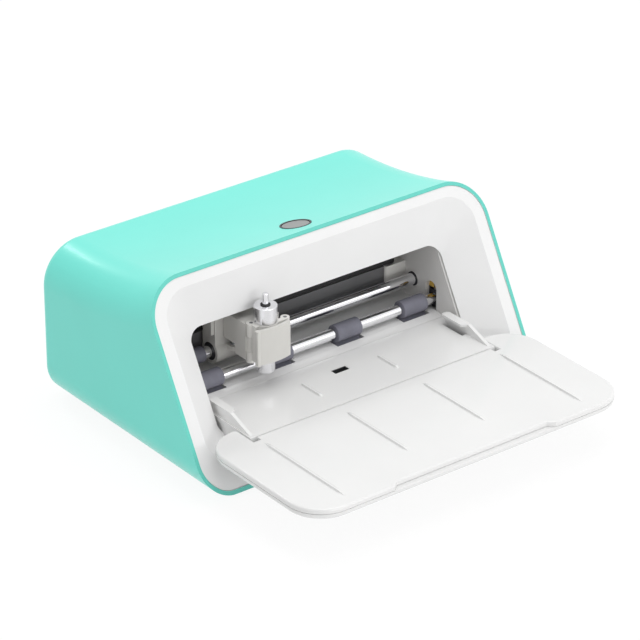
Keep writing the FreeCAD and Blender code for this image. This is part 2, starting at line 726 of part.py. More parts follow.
# Frame
def side_wall(side):
    foot_y = FRONT_AT_PLATFORM + FUNNEL_DEPTH / math.cos(TILT) + FIT + SLOPE * BEZEL_WALL
    corners = [(foot_y + SLOPE * OPENING_LOW_Z, PAN_TOP_Z, 0), (WALL_BACK_Y, PAN_TOP_Z, 0),
               (WALL_BACK_Y, WALL_TOP_Z, WALL_CORNER),
               (foot_y + SLOPE * WALL_TOP_Z, WALL_TOP_Z, WALL_CORNER / 2),
               (foot_y + SLOPE * OPENING_LOW_Z, OPENING_LOW_Z, 0)]
    x0, x1 = sorted((side * WALL_INNER_X, side * WALL_OUTER_X))
    solid = side_prism(corners, x0, x1)
    half = PINCH_SLOT_WIDTH / 2
    slot_low = FEED_Z + FEED_BUSH_RADIUS + MOVING
    slot = [(PINCH_Y - half, slot_low, 0), (PINCH_Y + half, slot_low, 0),
            (PINCH_Y + half, PINCH_SLOT_TOP_Z, half - FIT), (PINCH_Y - half, PINCH_SLOT_TOP_Z, half - FIT)]
    solid = solid.cut(side_prism(slot, x0 - FIT, x1 + FIT))
    through = x1 - x0 + 2 * FIT
    for y, z, radius in ((ROD_Y, ROD_Z, ROD_COLLAR_RADIUS), (PINCH_Y, FEED_Z, FEED_BUSH_RADIUS)):
        solid = solid.cut(rod(V(x0 - FIT, y, z), ACROSS, radius, through))
    if side > 0:
        solid = solid.cut(rod(V(x0 - FIT, PINION_Y, PINION_Z), ACROSS, 2 * MOTOR_SHAFT_RADIUS, through))
    return solid


def base_pan():
    half = BODY_HALF_WIDTH - BOTTOM_EDGE_RADIUS
    low = SLEEVE_LOW_Z + SLEEVE_WALL
    plate = prism(rectangle(half, PAN_FRONT_Y, WALL_BACK_Y, PAN_CORNER, PAN_CORNER), low, PAN_TOP_Z)
    posts = [rod(place, UP, STANDOFF_RADIUS, STANDOFF_HEIGHT) for place in standoffs()]
    return fuse(plate, *posts)


def standoffs():
    inset = 2 * STANDOFF_RADIUS
    return [V(side * (BOARD_HALF_WIDTH - inset), y, PAN_TOP_Z) for side in SIDES
            for y in (BOARD_FRONT_Y + inset, WALL_BACK_Y - 2 * inset)]


def rail_beam():
    """Channel with its open side to the back."""
    body = box(-WALL_INNER_X, BEAM_END_X, BEAM_FRONT_Y, BEAM_FRONT_Y + BEAM_DEPTH, BEAM_LOW_Z, BEAM_HIGH_Z)
    hollow = box(-WALL_INNER_X, BEAM_END_X, BEAM_FRONT_Y + BEAM_WALL, BEAM_FRONT_Y + BEAM_DEPTH,
                 BEAM_LOW_Z + BEAM_WALL, BEAM_HIGH_Z - BEAM_WALL)
    return body.cut(hollow)


def idler_block():
    body = prism([(BEAM_END_X, BEAM_FRONT_Y - BEAM_WALL, 0), (WALL_INNER_X, BEAM_FRONT_Y - BEAM_WALL, 0),
                  (WALL_INNER_X, BEAM_FRONT_Y + BEAM_DEPTH, 0), (BEAM_END_X, BEAM_FRONT_Y + BEAM_DEPTH, 0)],
                 BEAM_LOW_Z, BEAM_HIGH_Z)
    body = soften(body, SOFT_CORNER, lambda p: near(p.x, BEAM_END_X) and near(p.y, BEAM_FRONT_Y - BEAM_WALL))
    high = PULLEY_TOP_Z + SHAFT_END
    post = rod(V(PULLEY_X, PULLEY_Y, BEAM_HIGH_Z), UP, MOTOR_SHAFT_RADIUS, high - BEAM_HIGH_Z)
    return fuse(body, post)


def guide_rod():
    return rod(V(-WALL_OUTER_X, ROD_Y, ROD_Z), ACROSS, ROD_RADIUS, 2 * WALL_OUTER_X)


def rod_collars():
    length = WALL_THICK + ROD_COLLAR_OUT
    starts = (-WALL_OUTER_X, WALL_INNER_X - ROD_COLLAR_OUT)
    return [ring(V(x, ROD_Y, ROD_Z), ACROSS, ROD_COLLAR_RADIUS - FIT, ROD_RADIUS, length) for x in starts]


def rod_bumper():
    start = -WALL_INNER_X + ROD_COLLAR_OUT
    body = ring(V(start, ROD_Y, ROD_Z), ACROSS, BUMPER_RADIUS, ROD_RADIUS, BUMPER_END_X - start)
    ends = [edge for edge in body.Edges if near(edge.BoundBox.XMin, BUMPER_END_X)]
    rim = [edge for edge in ends if edge.BoundBox.YLength > 2 * ROD_RADIUS + FIT]
    return body.makeFillet(EDGE_ROUND, rim)


# Rollers and their drive
def pinch_shaft():
    end = WALL_OUTER_X + MOVING + PINCH_BLOCK_THICK
    return rod(V(-end, PINCH_Y, PINCH_Z), ACROSS, PINCH_SHAFT_RADIUS, 2 * end)


def roller_sleeve(x, z, radius, bore):
    body = ring(V(x - ROLLER_LENGTH / 2, PINCH_Y, z), ACROSS, radius, bore, ROLLER_LENGTH)
    return body.makeFillet(EDGE_ROUND, [e for e in body.Edges if e.BoundBox.YLength > 2 * radius - FIT])


def pinch_rollers():
    return [roller_sleeve(x, PINCH_Z, PINCH_ROLLER_RADIUS, PINCH_SHAFT_RADIUS) for x in ROLLER_XS]


def feed_rollers():
    return [roller_sleeve(x, FEED_Z, FEED_ROLLER_RADIUS, FEED_SHAFT_RADIUS) for x in ROLLER_XS]


def pinch_blocks():
    """Bearing blocks outside the walls, which slide up and down with the pinch shaft."""
    half = PINCH_BLOCK_WIDTH / 2
    low = FEED_Z + FEED_BUSH_RADIUS + 2 * MOVING
    blocks = []
    for side in SIDES:
        inner = side * (WALL_OUTER_X + MOVING)
        x0, x1 = sorted((inner, inner + side * PINCH_BLOCK_THICK))
        corners = [(PINCH_Y - half, low), (PINCH_Y + half, low),
                   (PINCH_Y + half, PINCH_BLOCK_TOP_Z), (PINCH_Y - half, PINCH_BLOCK_TOP_Z)]
        block = side_prism([(y, z, SMALL_CORNER) for y, z in corners], x0, x1)
        bore = rod(V(x0, PINCH_Y, PINCH_Z), ACROSS, PINCH_SHAFT_RADIUS + RUNNING, x1 - x0)
        blocks.append(block.cut(bore))
    return blocks


def spring_x(side):
    return side * (WALL_OUTER_X + MOVING + PINCH_BLOCK_THICK / 2)


def pinch_spring_caps():
    """Cups on the outside of the walls that hold the tops of the pinch springs."""
    half = PINCH_BLOCK_WIDTH / 2
    low = PINCH_BLOCK_TOP_Z + PINCH_LIFT + MOVING
    seat = PINCH_BLOCK_TOP_Z + PINCH_SPRING_LENGTH
    outer = WALL_OUTER_X + MOVING + PINCH_BLOCK_THICK + SPRING_CAP_WALL
    caps = []
    for side in SIDES:
        x0, x1 = sorted((side * WALL_OUTER_X, side * outer))
        cup = box(x0, x1, PINCH_Y - half, PINCH_Y + half, low, seat + SPRING_CAP_THICK)
        cup = soften(cup, SMALL_CORNER, lambda p: near(abs(p.x), outer))
        caps.append(cup.cut(rod(V(spring_x(side), PINCH_Y, low), UP, PINCH_SPRING_RADIUS + FIT, seat - low)))
    return caps


def biarc(p0, t0, p1, t1):
    """Two arcs that leave p0 along t0 and reach p1 along t1."""
    chord = p1 - p0
    along = chord.dot(t0 + t1)
    turn = 2 * (1 - t0.dot(t1))
    reach = (math.sqrt(along ** 2 + turn * chord.dot(chord)) - along) / turn
    q0 = p0 + t0 * reach
    q1 = p1 - t1 * reach
    joint = (q0 + q1) * 0.5

    def arc(start, corner, end):
        middle = (start + end) * 0.5
        bend = (corner - start).getAngle(end - corner)
        out = corner - middle
        out.normalize()
        rise = (end - start).Length / 2 * math.tan(bend / 4)
        return Part.Arc(start, middle + out * rise, end).toShape()
    return [arc(p0, q0, joint), arc(joint, q1, p1)]


def coil(foot, length, radius, wire, turns):
    """Compression spring that stands on foot: one round wire wound up a helix, its ends inside length."""
    rise = length - wire
    steps = 4 * turns

    def point(i):
        angle = math.pi / 2 * i
        return foot + V(radius * math.cos(angle), radius * math.sin(angle), wire / 2 + rise * i / steps)

    def tangent(i):
        angle = math.pi / 2 * i
        way = V(-radius * math.sin(angle), radius * math.cos(angle), rise / (turns * 2 * math.pi))
        way.normalize()
        return way
    edges = []
    for i in range(steps):
        edges += biarc(point(i), tangent(i), point(i + 1), tangent(i + 1))
    circle = Part.Wire(Part.Circle(point(0), tangent(0), wire / 2).toShape())
    print("spring at %.0f, %.0f: gap between turns %.2f" % (foot.x, foot.y, rise / turns - wire))
    return Part.Wire(edges).makePipeShell([circle], True, False)


def pinch_springs():
    radius = PINCH_SPRING_RADIUS - PINCH_SPRING_WIRE / 2
    feet = [V(spring_x(side), PINCH_Y, PINCH_BLOCK_TOP_Z) for side in SIDES]
    return [coil(foot, PINCH_SPRING_LENGTH, radius, PINCH_SPRING_WIRE, PINCH_SPRING_TURNS) for foot in feet]


def feed_shaft():
    start = -WALL_OUTER_X - 2 * MOVING
    end = FEED_GEAR_X + GEAR_WIDTH + SHAFT_END
    return rod(V(start, PINCH_Y, FEED_Z), ACROSS, FEED_SHAFT_RADIUS, end - start)


def feed_bushes():
    starts = (-WALL_OUTER_X, WALL_INNER_X)
    return [ring(V(x, PINCH_Y, FEED_Z), ACROSS, FEED_BUSH_RADIUS, FEED_SHAFT_RADIUS + RUNNING, WALL_THICK)
            for x in starts]


def gear(centre, teeth, bore, first):
    """Spur gear across the machine, with a tooth's middle at the angle first."""
    pitch = GEAR_MODULE * teeth / 2
    step = 2 * math.pi / teeth
    root = pitch - ROOT_DEPTH * GEAR_MODULE
    tip = pitch + TIP_HEIGHT * GEAR_MODULE
    corners = []
    for tooth in range(teeth):
        middle = first + tooth * step
        for share, radius in ((-ROOT_SHARE, root), (-TIP_SHARE, tip), (TIP_SHARE, tip), (ROOT_SHARE, root)):
            angle = middle + share * step
            corners.append((centre.y + radius * math.cos(angle), centre.z + radius * math.sin(angle), 0))
    solid = side_prism(corners, centre.x, centre.x + GEAR_WIDTH)
    return solid.cut(rod(centre, ACROSS, bore, GEAR_WIDTH))


def feed_gear():
    toward = math.radians(PINION_ANGLE)
    wheel = gear(V(FEED_GEAR_X, PINCH_Y, FEED_Z), FEED_GEAR_TEETH, FEED_SHAFT_RADIUS, toward)
    rim = GEAR_MODULE * FEED_GEAR_TEETH / 2 - 4 * GEAR_MODULE
    web = V(FEED_GEAR_X + GEAR_WIDTH / 2, PINCH_Y, FEED_Z)
    return wheel.cut(ring(web, ACROSS, rim, 2 * FEED_SHAFT_RADIUS, GEAR_WIDTH))


def feed_pinion():
    facing = math.radians(PINION_ANGLE) + math.pi
    half_step = math.pi / FEED_PINION_TEETH
    centre = V(FEED_GEAR_X, PINION_Y, PINION_Z)
    wheel = gear(centre, FEED_PINION_TEETH, MOTOR_SHAFT_RADIUS, facing + half_step)
    start = WALL_INNER_X - FEED_MOTOR_LENGTH / 2
    shaft = rod(V(start, PINION_Y, PINION_Z), ACROSS, MOTOR_SHAFT_RADIUS, FEED_GEAR_X + GEAR_WIDTH - start)
    return fuse(wheel, shaft)


def feed_motor():
    start = V(WALL_INNER_X - FEED_MOTOR_LENGTH, PINION_Y, PINION_Z)
    can = rod(start, ACROSS, FEED_MOTOR_RADIUS, FEED_MOTOR_LENGTH)
    can = can.makeFillet(CAN_ROUND, [e for e in can.Edges if near(e.BoundBox.XMax, start.x)])
    middle = start + ACROSS * (FEED_MOTOR_LENGTH / 2)
    return can.cut(rod(middle, ACROSS, MOTOR_SHAFT_RADIUS + RUNNING, FEED_MOTOR_LENGTH))


# Belt drive
def pulley(x, bore, shaft_to):
    centre = V(x, PULLEY_Y, BELT_LOW_Z - PULLEY_FLANGE / 2)
    core = rod(centre, UP, PULLEY_RADIUS - BELT_THICK / 2 - RUNNING, PULLEY_TOP_Z - centre.z)
    low = rod(centre, UP, PULLEY_RADIUS + BELT_THICK, PULLEY_FLANGE / 2 - RUNNING)
    high = rod(V(x, PULLEY_Y, BELT_LOW_Z + BELT_WIDTH + RUNNING), UP, PULLEY_RADIUS + BELT_THICK,
               PULLEY_FLANGE / 2)
    wheel = fuse(core, low, high)
    if bore:
        return wheel.cut(rod(centre, UP, bore, PULLEY_TOP_Z - centre.z))
    return fuse(wheel, rod(V(x, PULLEY_Y, BELT_MID_Z), UP, MOTOR_SHAFT_RADIUS, shaft_to - BELT_MID_Z))


def belt_loop(radius):
    corners = rectangle(PULLEY_X + radius, PULLEY_Y - radius, PULLEY_Y + radius, radius, radius)
    return prism(corners, BELT_LOW_Z, BELT_LOW_Z + BELT_WIDTH)


def drive_belt():
    return belt_loop(PULLEY_RADIUS + BELT_THICK / 2).cut(belt_loop(PULLEY_RADIUS - BELT_THICK / 2))


def motor_bracket():
    left = -WALL_INNER_X
    right = -PULLEY_X + CARRIAGE_MOTOR_RADIUS
    half = CARRIAGE_MOTOR_RADIUS + SMALL_CORNER
    corners = [(left, PULLEY_Y - half, 0), (right, PULLEY_Y - half, WIDE_CORNER),
               (right, PULLEY_Y + half, WIDE_CORNER), (left, PULLEY_Y + half, 0)]
    plate = prism(corners, BRACKET_Z, BRACKET_Z + BRACKET_THICK)
    flange = box(left, left + BRACKET_THICK, PULLEY_Y + half - LEG_DEPTH, PULLEY_Y + half,
                 BRACKET_Z - LEG_DEPTH, BRACKET_Z)
    hole = rod(V(-PULLEY_X, PULLEY_Y, BRACKET_Z), UP, 2 * MOTOR_SHAFT_RADIUS, BRACKET_THICK)
    return fuse(plate, flange).cut(hole)


def carriage_motor():
    start = V(-PULLEY_X, PULLEY_Y, BRACKET_Z + BRACKET_THICK)
    radius = CARRIAGE_MOTOR_RADIUS
    high = start.z + CARRIAGE_MOTOR_LENGTH
    can = rod(start, UP, radius, CARRIAGE_MOTOR_LENGTH)
    can = can.makeFillet(CAN_ROUND, [e for e in can.Edges if near(e.BoundBox.ZMin, high)])
    # A flat on the can's left clears the wall
    wall = -WALL_INNER_X
    flat = box(wall - radius, wall + FIT, PULLEY_Y - radius, PULLEY_Y + radius, start.z, high)
    bore = rod(start, UP, MOTOR_SHAFT_RADIUS + RUNNING, CARRIAGE_MOTOR_LENGTH / 2 + FIT)
    return can.cut(flat).cut(bore)


# Carriage
def guide_pin(side, radius, low, high):
    return rod(V(BLADE_X + side * GUIDE_PIN_SPREAD, GUIDE_PIN_Y, low), UP, radius, high - low)


def carriage_base():
    back = box(CARRIAGE_X0, CARRIAGE_X1, CARRIAGE_FRONT_Y, CARRIAGE_BACK_Y, ROD_Z, CARRIAGE_TOP_Z)
    hub = rod(V(CARRIAGE_X0, ROD_Y, ROD_Z), ACROSS, HUB_RADIUS, CARRIAGE_X1 - CARRIAGE_X0)
    back = soften(back, WIDE_CORNER, lambda p: near(p.z, CARRIAGE_TOP_Z) and near(p.y, CARRIAGE_BACK_Y))
    lugs = []
    for low, thick in ((LOW_LUG_Z, LOW_LUG_THICK), (HIGH_LUG_Z, HIGH_LUG_THICK)):
        x0, x1 = BLADE_X - LUG_HALF_WIDTH, BLADE_X + LUG_HALF_WIDTH
        corners = [(x0, LUG_FRONT_Y, WIDE_CORNER), (x1, LUG_FRONT_Y, WIDE_CORNER),
                   (x1, ROD_Y, 0), (x0, ROD_Y, 0)]
        lugs.append(prism(corners, low, low + thick))
    spine = box(BLADE_X - LUG_HALF_WIDTH, BLADE_X + LUG_HALF_WIDTH, CARRIAGE_FRONT_Y, ROD_Y,
                CARRIAGE_TOP_Z, HIGH_LUG_Z + HIGH_LUG_THICK)
    tab_front = CARRIAGE_FRONT_Y + TAB_INSET
    tab_low = CARRIAGE_TOP_Z - TAB_HEIGHT
    tab = side_prism([(tab_front, tab_low, SOFT_CORNER), (tab_front + TAB_WIDTH, tab_low, SOFT_CORNER),
                      (tab_front + TAB_WIDTH, CARRIAGE_TOP_Z, 0), (tab_front, CARRIAGE_TOP_Z, 0)],
                     CARRIAGE_X0 - TAB_THICK, CARRIAGE_X0)
    solid = fuse(back, hub, spine, tab, *lugs)
    hole = V(CARRIAGE_X0 - TAB_THICK, tab_front + TAB_WIDTH / 2, CARRIAGE_TOP_Z - TAB_HEIGHT / 2)
    solid = solid.cut(rod(hole, ACROSS, TAB_HOLE_RADIUS, TAB_THICK))
    width = CARRIAGE_X1 - CARRIAGE_X0
    solid = solid.cut(rod(V(CARRIAGE_X0, ROD_Y, ROD_Z), ACROSS, ROD_RADIUS + 2 * MOVING, width))
    for start in bush_starts():
        solid = solid.cut(rod(start, ACROSS, CARRIAGE_BUSH_RADIUS, CARRIAGE_BUSH_LENGTH))
    for side in SIDES:
        solid = solid.cut(guide_pin(side, GUIDE_PIN_RADIUS, LOW_LUG_Z, HIGH_LUG_Z + HIGH_LUG_THICK))
    plunger_way = V(BLADE_X, GUIDE_PIN_Y, HIGH_LUG_Z)
    return solid.cut(rod(plunger_way, UP, SOLENOID_PLUNGER_RADIUS + FIT, HIGH_LUG_THICK))


def bush_starts():
    return (V(CARRIAGE_X0, ROD_Y, ROD_Z), V(CARRIAGE_X1 - CARRIAGE_BUSH_LENGTH, ROD_Y, ROD_Z))


def carriage_bushes():
    return [ring(start, ACROSS, CARRIAGE_BUSH_RADIUS, ROD_RADIUS + RUNNING, CARRIAGE_BUSH_LENGTH)
            for start in bush_starts()]


def belt_clip():
    """Jaw on the carriage's back that holds the belt's front run."""
    run = PULLEY_Y - PULLEY_RADIUS
    half_belt = BELT_THICK / 2
    x0, x1 = BLADE_X - LUG_HALF_WIDTH / 2, BLADE_X + LUG_HALF_WIDTH / 2
    low, high = BELT_LOW_Z - MOVING, BELT_LOW_Z + BELT_WIDTH
    jaw = box(x0, x1, CARRIAGE_BACK_Y, run + half_belt + JAW_WALL, low, high + JAW_WALL)
    gap = box(x0, x1, run - half_belt - FIT / 2, run + half_belt + FIT / 2, low, high + FIT)
    return jaw.cut(gap)


def lift_guide_pins():
    return [guide_pin(side, GUIDE_PIN_RADIUS, LOW_LUG_Z, HIGH_LUG_Z + HIGH_LUG_THICK) for side in SIDES]


def lift_springs():
    length = BLOCK_STEP_Z - LUG_TOP_Z
    radius = LIFT_SPRING_RADIUS - LIFT_SPRING_WIRE / 2
    feet = [V(BLADE_X + side * GUIDE_PIN_SPREAD, GUIDE_PIN_Y, LUG_TOP_Z) for side in SIDES]
    return [coil(foot, length, radius, LIFT_SPRING_WIRE, LIFT_SPRING_TURNS) for foot in feet]


def lift_solenoid():
    start = V(BLADE_X, GUIDE_PIN_Y, HIGH_LUG_Z + HIGH_LUG_THICK)
    return ring(start, UP, SOLENOID_RADIUS, SOLENOID_PLUNGER_RADIUS + RUNNING, SOLENOID_LENGTH)


def solenoid_plunger():
    top = HIGH_LUG_Z + HIGH_LUG_THICK + SOLENOID_LENGTH
    return rod(V(BLADE_X, GUIDE_PIN_Y, BLOCK_TOP_Z), UP, SOLENOID_PLUNGER_RADIUS, top - BLOCK_TOP_Z)


# Tool head
def knuckle(x, y, low, high, radius):
    return rod(V(x, y, low), UP, radius, high - low)


def tool_block():
    x0, x1 = BLADE_X - BLOCK_HALF_WIDTH, BLADE_X + BLOCK_HALF_WIDTH
    corners = [(BLOCK_FRONT_Y, BLOCK_LOW_Z), (BLOCK_STEP_Y, BLOCK_LOW_Z), (BLOCK_STEP_Y, BLOCK_STEP_Z),
               (BLOCK_BACK_Y, BLOCK_STEP_Z), (BLOCK_BACK_Y, BLOCK_TOP_Z), (BLOCK_FRONT_Y, BLOCK_TOP_Z)]
    body = side_prism([(y, z, 0) for y, z in corners], x0, x1)
    seat_half = CLAMP_RADIUS - CLAMP_WALL / 2
    seat = box(BLADE_X - seat_half + CLAMP_WALL, BLADE_X + seat_half, BLADE_Y + MOVING, BLOCK_FRONT_Y,
               BLOCK_LOW_Z, CLAMP_TOP_Z)
    pivot = knuckle(CLAMP_X, CLAMP_Y, KNUCKLE_MID_LOW_Z, KNUCKLE_MID_HIGH_Z, KNUCKLE_RADIUS)
    solid = fuse(body, seat, pivot)
    solid = solid.cut(rod(V(BLADE_X, BLADE_Y, 0), UP, HOLDER_RADIUS, BLOCK_TOP_Z + FIT))
    for low, high in ((0, KNUCKLE_MID_LOW_Z), (KNUCKLE_MID_HIGH_Z, BLOCK_TOP_Z + FIT)):
        solid = solid.cut(knuckle(CLAMP_X, CLAMP_Y, low, high, KNUCKLE_RADIUS + MOVING))
    solid = solid.cut(knuckle(CLAMP_X, CLAMP_Y, 0, BLOCK_TOP_Z, KNUCKLE_PIN_RADIUS))
    for side in SIDES:
        solid = solid.cut(guide_pin(side, GUIDE_PIN_RADIUS + RUNNING, BLOCK_STEP_Z, BLOCK_TOP_Z))
    return solid


def clamp_pin():
    return knuckle(CLAMP_X, CLAMP_Y, KNUCKLE_LOW_Z, CLAMP_TOP_Z, KNUCKLE_PIN_RADIUS)


def clamp_arm():
    """Front half of the holder's seat, which swings on the left knuckle and carries the lever's knuckle."""
    low, high = BLOCK_LOW_Z, CLAMP_TOP_Z
    half = CLAMP_RADIUS
    shell = rod(V(BLADE_X, BLADE_Y, low), UP, half, high - low)
    shell = shell.common(box(BLADE_X - half, BLADE_X + half, BLADE_Y - half, BLADE_Y - MOVING, low, high))
    right = box(BLADE_X, LEVER_X, LEVER_Y - LEVER_KNUCKLE, LEVER_Y + MOVING, low, high)
    lever_knuckle = knuckle(LEVER_X, LEVER_Y, low, high, LEVER_KNUCKLE)
    link_x = CLAMP_X - KNUCKLE_RADIUS / 2
    left = box(link_x, BLADE_X - HOLDER_RADIUS, BLADE_Y - KNUCKLE_RADIUS, CLAMP_Y, low, high)
    hinge = knuckle(CLAMP_X, CLAMP_Y, KNUCKLE_LOW_Z, high, KNUCKLE_RADIUS)
    solid = fuse(shell, right, lever_knuckle, left, hinge)
    solid = solid.cut(rod(V(BLADE_X, BLADE_Y, 0), UP, HOLDER_RADIUS + RUNNING, high + FIT))
    # Room for the holder as the arm swings away, for the lever's eye and for the middle knuckle
    swing_y = BLADE_Y - SWING_SHARE * HOLDER_RADIUS
    solid = solid.cut(box(BLADE_X, BLADE_X + half, swing_y, BLADE_Y, 0, high + FIT))
    eye_room = KNUCKLE_RADIUS + MOVING
    solid = solid.cut(box(LEVER_X - eye_room, LEVER_X + eye_room, LEVER_Y - eye_room, LEVER_Y + eye_room,
                          0, LEVER_LOW_Z + LEVER_THICK + FIT))
    solid = solid.cut(knuckle(CLAMP_X, CLAMP_Y, KNUCKLE_MID_LOW_Z - FIT, KNUCKLE_MID_HIGH_Z + FIT,
                              KNUCKLE_RADIUS + MOVING))
    solid = solid.cut(knuckle(CLAMP_X, CLAMP_Y, 0, high + FIT, KNUCKLE_PIN_RADIUS + RUNNING))
    return solid.cut(knuckle(LEVER_X, LEVER_Y, 0, high + FIT, KNUCKLE_PIN_RADIUS))


def lever_pin():
    return knuckle(LEVER_X, LEVER_Y, LEVER_LOW_Z, CLAMP_TOP_Z, KNUCKLE_PIN_RADIUS)


def clamp_lever():
    """Bowed front plate with a finger lip at its left, hinged under the clamp's right knuckle."""
    front = BLADE_Y - CLAMP_RADIUS - MOVING - LEVER_THICK
    left = BLADE_X + LEVER_LIP_X
    end = LEVER_X
    low, high = LEVER_LOW_Z, LEVER_TOP_Z

    side_y = front + LEVER_BOW
    inner_y = side_y + LEVER_THICK

    def bow(y):
        return Part.Arc(V(left, y + LEVER_BOW, low), V(BLADE_X, y, low), V(end, y + LEVER_BOW, low)).toShape()
    edges = [bow(front), bow(front + LEVER_THICK)]
    for x in (left, end):
        edges.append(Part.LineSegment(V(x, side_y, low), V(x, inner_y, low)).toShape())
    plate = Part.Face(Part.Wire(Part.__sortEdges__(edges))).extrude(UP * (high - low))
    half = LEVER_LIP / 2
    grip = box(left - half, left + half, side_y - half, inner_y, low, high)
    grip = grip.makeFillet(LEVER_LIP / 3, [e for e in grip.Edges if near(e.BoundBox.ZLength, high - low)])
    tongue = box(LEVER_X - KNUCKLE_RADIUS, end, side_y, LEVER_Y, low, low + LEVER_THICK)
    eye = knuckle(LEVER_X, LEVER_Y, low, low + LEVER_THICK, KNUCKLE_RADIUS)
    solid = fuse(plate, grip, tongue, eye)
    return solid.cut(knuckle(LEVER_X, LEVER_Y, 0, high, KNUCKLE_PIN_RADIUS + RUNNING))


def blade_holder():
    place = V(BLADE_X, BLADE_Y, HOLDER_LOW_Z)
    nose = rod(place, UP, HOLDER_RADIUS, HOLDER_FLANGE_Z - HOLDER_LOW_Z)
    nose = soften(nose, HOLDER_NOSE, lambda p: near(p.z, HOLDER_LOW_Z))
    collar = V(BLADE_X, BLADE_Y, HOLDER_FLANGE_Z)
    flange = rod(collar, UP, HOLDER_FLANGE_RADIUS, HOLDER_TOP_Z - HOLDER_FLANGE_Z)
    flange = soften(flange, EDGE_ROUND, lambda p: near(p.z, HOLDER_TOP_Z))
    bore_foot = V(BLADE_X, BLADE_Y, PLUNGER_LOW_Z - PLUNGER_TRAVEL - MOVING)
    solid = fuse(nose, flange).cut(rod(bore_foot, UP, PLUNGER_RADIUS + RUNNING, HOLDER_TOP_Z))
    return solid.cut(rod(V(BLADE_X, BLADE_Y, 0), UP, BLADE_RADIUS + RUNNING, HOLDER_TOP_Z))


def plunger_seal():
    return ring(V(BLADE_X, BLADE_Y, HOLDER_TOP_Z), UP, SEAL_RADIUS, PLUNGER_RADIUS + RUNNING, SEAL_THICK)


def eject_plunger():
    pin = rod(V(BLADE_X, BLADE_Y, PLUNGER_LOW_Z), UP, PLUNGER_RADIUS, PLUNGER_TOP_Z - PLUNGER_LOW_Z)
    return soften(pin, EDGE_ROUND, lambda p: near(p.z, PLUNGER_TOP_Z))


def blade():
    """Round shank ground to a slanting point."""
    shank = rod(V(BLADE_X, BLADE_Y, BLADE_TIP_Z), UP, BLADE_RADIUS, PLUNGER_LOW_Z - BLADE_TIP_Z)
    rise = 4 * BLADE_RADIUS
    wide = 2 * BLADE_RADIUS
    corners = [(BLADE_Y - wide, BLADE_TIP_Z - rise), (BLADE_Y + wide, BLADE_TIP_Z - rise),
               (BLADE_Y + wide, BLADE_TIP_Z + 1.5 * rise), (BLADE_Y - BLADE_RADIUS, BLADE_TIP_Z),
               (BLADE_Y - wide, BLADE_TIP_Z)]
    wedge = side_prism([(y, z, 0) for y, z in corners], BLADE_X - wide, BLADE_X + wide)
    return shank.cut(wedge)


# Power button
def button_ring():
    """Collar in the sleeve's top with a cup below it that holds the switch."""
    height = BUTTON_CUP_DEPTH + BUTTON_RING_PROUD
    body = rod(V(0, 0, -BUTTON_CUP_DEPTH), UP, BUTTON_RING_RADIUS, height)
    bore = rod(V(0, 0, BUTTON_CUP_FLOOR - BUTTON_CUP_DEPTH), UP, BUTTON_RADIUS + FIT / 2, height)
    return on_button(body.cut(bore))


def power_button():
    cap = rod(V(0, 0, -BUTTON_THICK), UP, BUTTON_RADIUS, BUTTON_THICK)
    cap = cap.makeFillet(EDGE_ROUND, [e for e in cap.Edges if near(e.BoundBox.ZMin, 0)])
    low = BUTTON_CUP_FLOOR - BUTTON_CUP_DEPTH + SWITCH_HEIGHT + BUTTON_TRAVEL
    stem = rod(V(0, 0, low), UP, BUTTON_STEM_RADIUS, -BUTTON_THICK / 2 - low)
    return on_button(fuse(cap, stem))


def button_switch():
    low = BUTTON_CUP_FLOOR - BUTTON_CUP_DEPTH
    half = SWITCH_SIZE / 2
    body = box(-half, half, -half, half, low, low + SWITCH_HEIGHT - BUTTON_TRAVEL / 2)
    return on_button(fuse(body, rod(V(0, 0, low), UP, BUTTON_STEM_RADIUS / 2, SWITCH_HEIGHT)))


# Back panel, board and screws
def jack_box(clearance):
    half = JACK_WIDTH / 2 + clearance
    low, high = BOARD_TOP_Z - clearance, BOARD_TOP_Z + JACK_HEIGHT + clearance
    return box(JACK_X - half, JACK_X + half, PANEL_BACK_Y - JACK_LENGTH, PANEL_BACK_Y + clearance, low, high)


def usb_box(grow, y0, y1):
    """Flat rounded form of the data socket, grown all round."""
    half = USB_WIDTH / 2 + grow
    low, high = BOARD_TOP_Z - grow, BOARD_TOP_Z + USB_HEIGHT + grow
    radius = USB_HEIGHT / 2 - FIT / 2 + grow
    corners = [(USB_X - half, low), (USB_X + half, low), (USB_X + half, high), (USB_X - half, high)]
    return upright_prism([(x, z, radius) for x, z in corners], y0, y1)


def panel_screw_places():
    x = PANEL_HALF_WIDTH - PANEL_RADIUS
    heights = (PANEL_LOW_Z + PANEL_RADIUS, PANEL_HIGH_Z - PANEL_RADIUS)
    return [V(side * x, PANEL_BACK_Y, z) for side in SIDES for z in heights]


def rear_panel():
    plug = upright_prism(panel_outline(0), PANEL_FRONT_Y - PANEL_FLANGE_THICK, PANEL_BACK_Y)
    flange = upright_prism(panel_outline(PANEL_FLANGE), PANEL_FRONT_Y - PANEL_FLANGE_THICK, PANEL_FRONT_Y)
    solid = fuse(plug, flange)
    slot = rectangle(SLOT_HALF_WIDTH, BED_RISE, BED_RISE + SLOT_HEIGHT, SOFT_CORNER, SOFT_CORNER)
    solid = solid.cut(upright_prism(slot, PANEL_FRONT_Y - 2 * PANEL_FLANGE_THICK, BODY_REACH))
    solid = solid.cut(jack_box(FIT)).cut(usb_box(FIT, PANEL_BACK_Y - USB_LENGTH, PANEL_BACK_Y + FIT))
    for place in panel_screw_places():
        solid = solid.cut(rod(place, -BACKWARD, SCREW_RADIUS, SCREW_LENGTH))
    return solid


